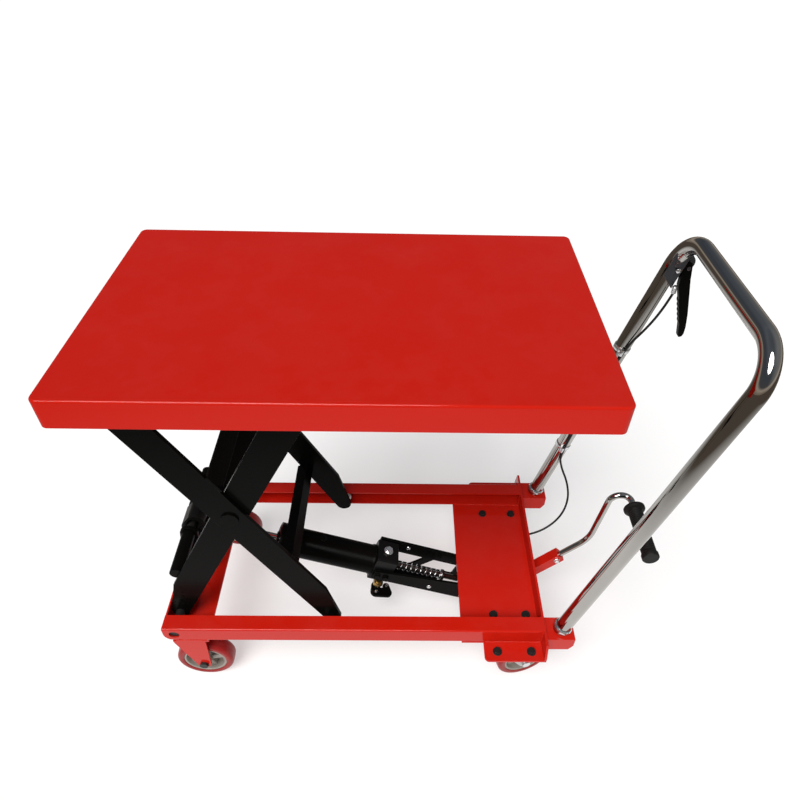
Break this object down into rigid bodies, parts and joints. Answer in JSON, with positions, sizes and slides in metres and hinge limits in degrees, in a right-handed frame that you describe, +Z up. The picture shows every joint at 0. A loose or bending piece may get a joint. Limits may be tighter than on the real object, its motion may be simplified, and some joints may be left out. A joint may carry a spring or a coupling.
{
  "type": "scissor lift table",
  "caption": "Hand-pumped scissor lift table: folded tray on crossed arms, channel base on wheels, foot pump, leaning push handle with release lever.",
  "frame": {"origin": "middle of the floor under the whole object, table raised", "axes": "+X along the table towards the push handle, +Z up, +Y to the side that carries the release lever"},
  "size_m": [1.073, 0.5, 0.935],
  "materials": {
    "red_paint": "gloss enamel",
    "black_paint": "satin enamel",
    "chrome_plate": "polished",
    "zinc_plate": "zinc plated",
    "tyre_red": "polyurethane",
    "rim_grey": "cast",
    "brass_fitting": "turned",
    "grip_rubber": "matt",
    "cable_black": "smooth sheath",
    "steel_dark": "blackened",
    "spring_steel": "bright wire"
  },
  "bodies": {
    "chassis": {"base_rail_near": "red_paint", "base_rail_far": "red_paint", "front_cross_plate": "red_paint", "rear_bridge_plate": "red_paint", "castor_bolts": "steel_dark", "front_forks": "red_paint", "swivel_plates": "zinc_plate", "handle_sockets": "red_paint", "handle_collars": "chrome_plate", "handle_tube": "chrome_plate", "pump_lugs": "red_paint", "pump_trunnions": "steel_dark", "chassis_pins": "steel_dark", "lever_bracket": "black_paint", "release_cable": "cable_black", "cable_clips": "zinc_plate"},
    "inner_frame": {"inner_arm_near": "black_paint", "inner_arm_far": "black_paint", "inner_cross_tubes": "black_paint", "pump_crank": "black_paint", "inner_frame_pins": "steel_dark"},
    "outer_frame": {"outer_arm_near": "black_paint", "outer_arm_far": "black_paint", "outer_crossbars": "black_paint", "outer_frame_pins": "steel_dark"},
    "table": {"table_top": "red_paint", "table_lugs": "red_paint", "table_pins": "zinc_plate", "table_channels": "red_paint"},
    "pump_body": {"pump_cylinder": "black_paint", "pump_block": "black_paint", "pump_frame": "black_paint", "release_valve": "brass_fitting", "pump_fasteners": "steel_dark", "pump_cable": "cable_black", "plunger_spring": "spring_steel"},
    "piston": {"piston_rod": "chrome_plate", "rod_head": "zinc_plate"},
    "plunger": {"pump_plunger": "zinc_plate"},
    "valve_lever": {"valve_lever": "black_paint"},
    "pedal": {"pedal_arm": "red_paint", "pedal_bar": "chrome_plate", "pedal_grip": "grip_rubber"},
    "release_lever": {"release_lever": "black_paint"},
    "front_wheel_near": {"front_tyre_near": "tyre_red", "front_rim_near": "rim_grey"},
    "rear_wheel_near": {"rear_tyre_near": "tyre_red", "rear_rim_near": "rim_grey"},
    "castor_near": {"swivel_fork_near": "zinc_plate", "swivel_axle_near": "zinc_plate"},
    "upper_roller_near": {"upper_roller_near": "zinc_plate"},
    "lower_roller_near": {"lower_roller_near": "zinc_plate"},
    "front_wheel_far": {"front_tyre_far": "tyre_red", "front_rim_far": "rim_grey"},
    "rear_wheel_far": {"rear_tyre_far": "tyre_red", "rear_rim_far": "rim_grey"},
    "castor_far": {"swivel_fork_far": "zinc_plate", "swivel_axle_far": "zinc_plate"},
    "upper_roller_far": {"upper_roller_far": "zinc_plate"},
    "lower_roller_far": {"lower_roller_far": "zinc_plate"}
  },
  "joints": [
    {"name": "scissor_fold", "type": "hinge", "parent": "chassis", "child": "inner_frame", "pos_m": [-0.5115, 0, 0.1915], "axis": [0, 1, 0], "range_deg": [0, 58.31]},
    {"name": "outer_fold", "type": "hinge", "parent": "inner_frame", "child": "outer_frame", "pos_m": [-0.34704, 0, 0.5235], "axis": [0, 1, 0], "range_deg": [-116.62, 0]},
    {"name": "table_level", "type": "hinge", "parent": "outer_frame", "child": "table", "pos_m": [-0.5115, 0, 0.8555], "axis": [0, 1, 0], "range_deg": [0, 58.32]},
    {"name": "pump_tilt", "type": "hinge", "parent": "chassis", "child": "pump_body", "pos_m": [0.1635, 0, 0.072], "axis": [0, 1, 0], "range_deg": [-3.44, 0]},
    {"name": "rod_stroke", "type": "slide", "parent": "pump_body", "child": "piston", "axis": [0.9353, 0, -0.3539], "range_m": [0, 0.12144]},
    {"name": "pedal_press", "type": "hinge", "parent": "pump_body", "child": "pedal", "pos_m": [0.18551, 0, 0.09201], "axis": [0, 1, 0], "range_deg": [0, 25], "stiffness_Nm_per_rad": 25, "springref_deg": -28.65},
    {"name": "plunger_stroke", "type": "slide", "parent": "pump_body", "child": "plunger", "axis": [-0.9353, 0, 0.3539], "range_m": [0, 0.0131], "deforming": ["plunger_spring"]},
    {"name": "lever_squeeze", "type": "hinge", "parent": "chassis", "child": "release_lever", "pos_m": [0.4995, 0.193, 0.85], "axis": [0, 1, 0], "range_deg": [0, 16], "stiffness_Nm_per_rad": 2, "springref_deg": -17.19},
    {"name": "valve_turn", "type": "hinge", "parent": "pump_body", "child": "valve_lever", "pos_m": [-0.09636, -0.026, 0.10297], "axis": [0.3539, 0, 0.9353], "range_deg": [0, 20.01]},
    {"name": "front_wheel_spin_near", "type": "hinge", "parent": "chassis", "child": "front_wheel_near", "pos_m": [-0.4735, -0.18, 0.0625], "axis": [0, 1, 0], "continuous": true},
    {"name": "castor_swivel_near", "type": "hinge", "parent": "chassis", "child": "castor_near", "pos_m": [0.2055, -0.185, 0.15], "axis": [0, 0, 1], "continuous": true},
    {"name": "rear_wheel_spin_near", "type": "hinge", "parent": "castor_near", "child": "rear_wheel_near", "pos_m": [0.24221, -0.17516, 0.0625], "axis": [-0.2588, 0.9659, 0], "continuous": true},
    {"name": "upper_roller_spin_near", "type": "hinge", "parent": "inner_frame", "child": "upper_roller_near", "pos_m": [-0.18258, -0.186, 0.8555], "axis": [0, 1, 0], "continuous": true},
    {"name": "lower_roller_spin_near", "type": "hinge", "parent": "outer_frame", "child": "lower_roller_near", "pos_m": [-0.18258, -0.186, 0.1915], "axis": [0, 1, 0], "continuous": true},
    {"name": "front_wheel_spin_far", "type": "hinge", "parent": "chassis", "child": "front_wheel_far", "pos_m": [-0.4735, 0.18, 0.0625], "axis": [0, 1, 0], "continuous": true},
    {"name": "castor_swivel_far", "type": "hinge", "parent": "chassis", "child": "castor_far", "pos_m": [0.2055, 0.185, 0.15], "axis": [0, 0, 1], "continuous": true},
    {"name": "rear_wheel_spin_far", "type": "hinge", "parent": "castor_far", "child": "rear_wheel_far", "pos_m": [0.2435, 0.185, 0.0625], "axis": [0, 1, 0], "continuous": true},
    {"name": "upper_roller_spin_far", "type": "hinge", "parent": "inner_frame", "child": "upper_roller_far", "pos_m": [-0.18258, 0.186, 0.8555], "axis": [0, 1, 0], "continuous": true},
    {"name": "lower_roller_spin_far", "type": "hinge", "parent": "outer_frame", "child": "lower_roller_far", "pos_m": [-0.18258, 0.186, 0.1915], "axis": [0, 1, 0], "continuous": true}
  ],
  "couplings": [
    {"joint": "outer_fold", "follows": "scissor_fold", "ratio": -2},
    {"joint": "table_level", "follows": "scissor_fold", "ratio": 1},
    {"joint": "pump_tilt", "follows": "scissor_fold", "ratio": -0.058891},
    {"joint": "rod_stroke", "follows": "scissor_fold", "m_per_rad": 0.11923},
    {"joint": "plunger_stroke", "follows": "pedal_press", "m_per_rad": 0.029794},
    {"joint": "valve_turn", "follows": "lever_squeeze", "ratio": 1.25}
  ]
}
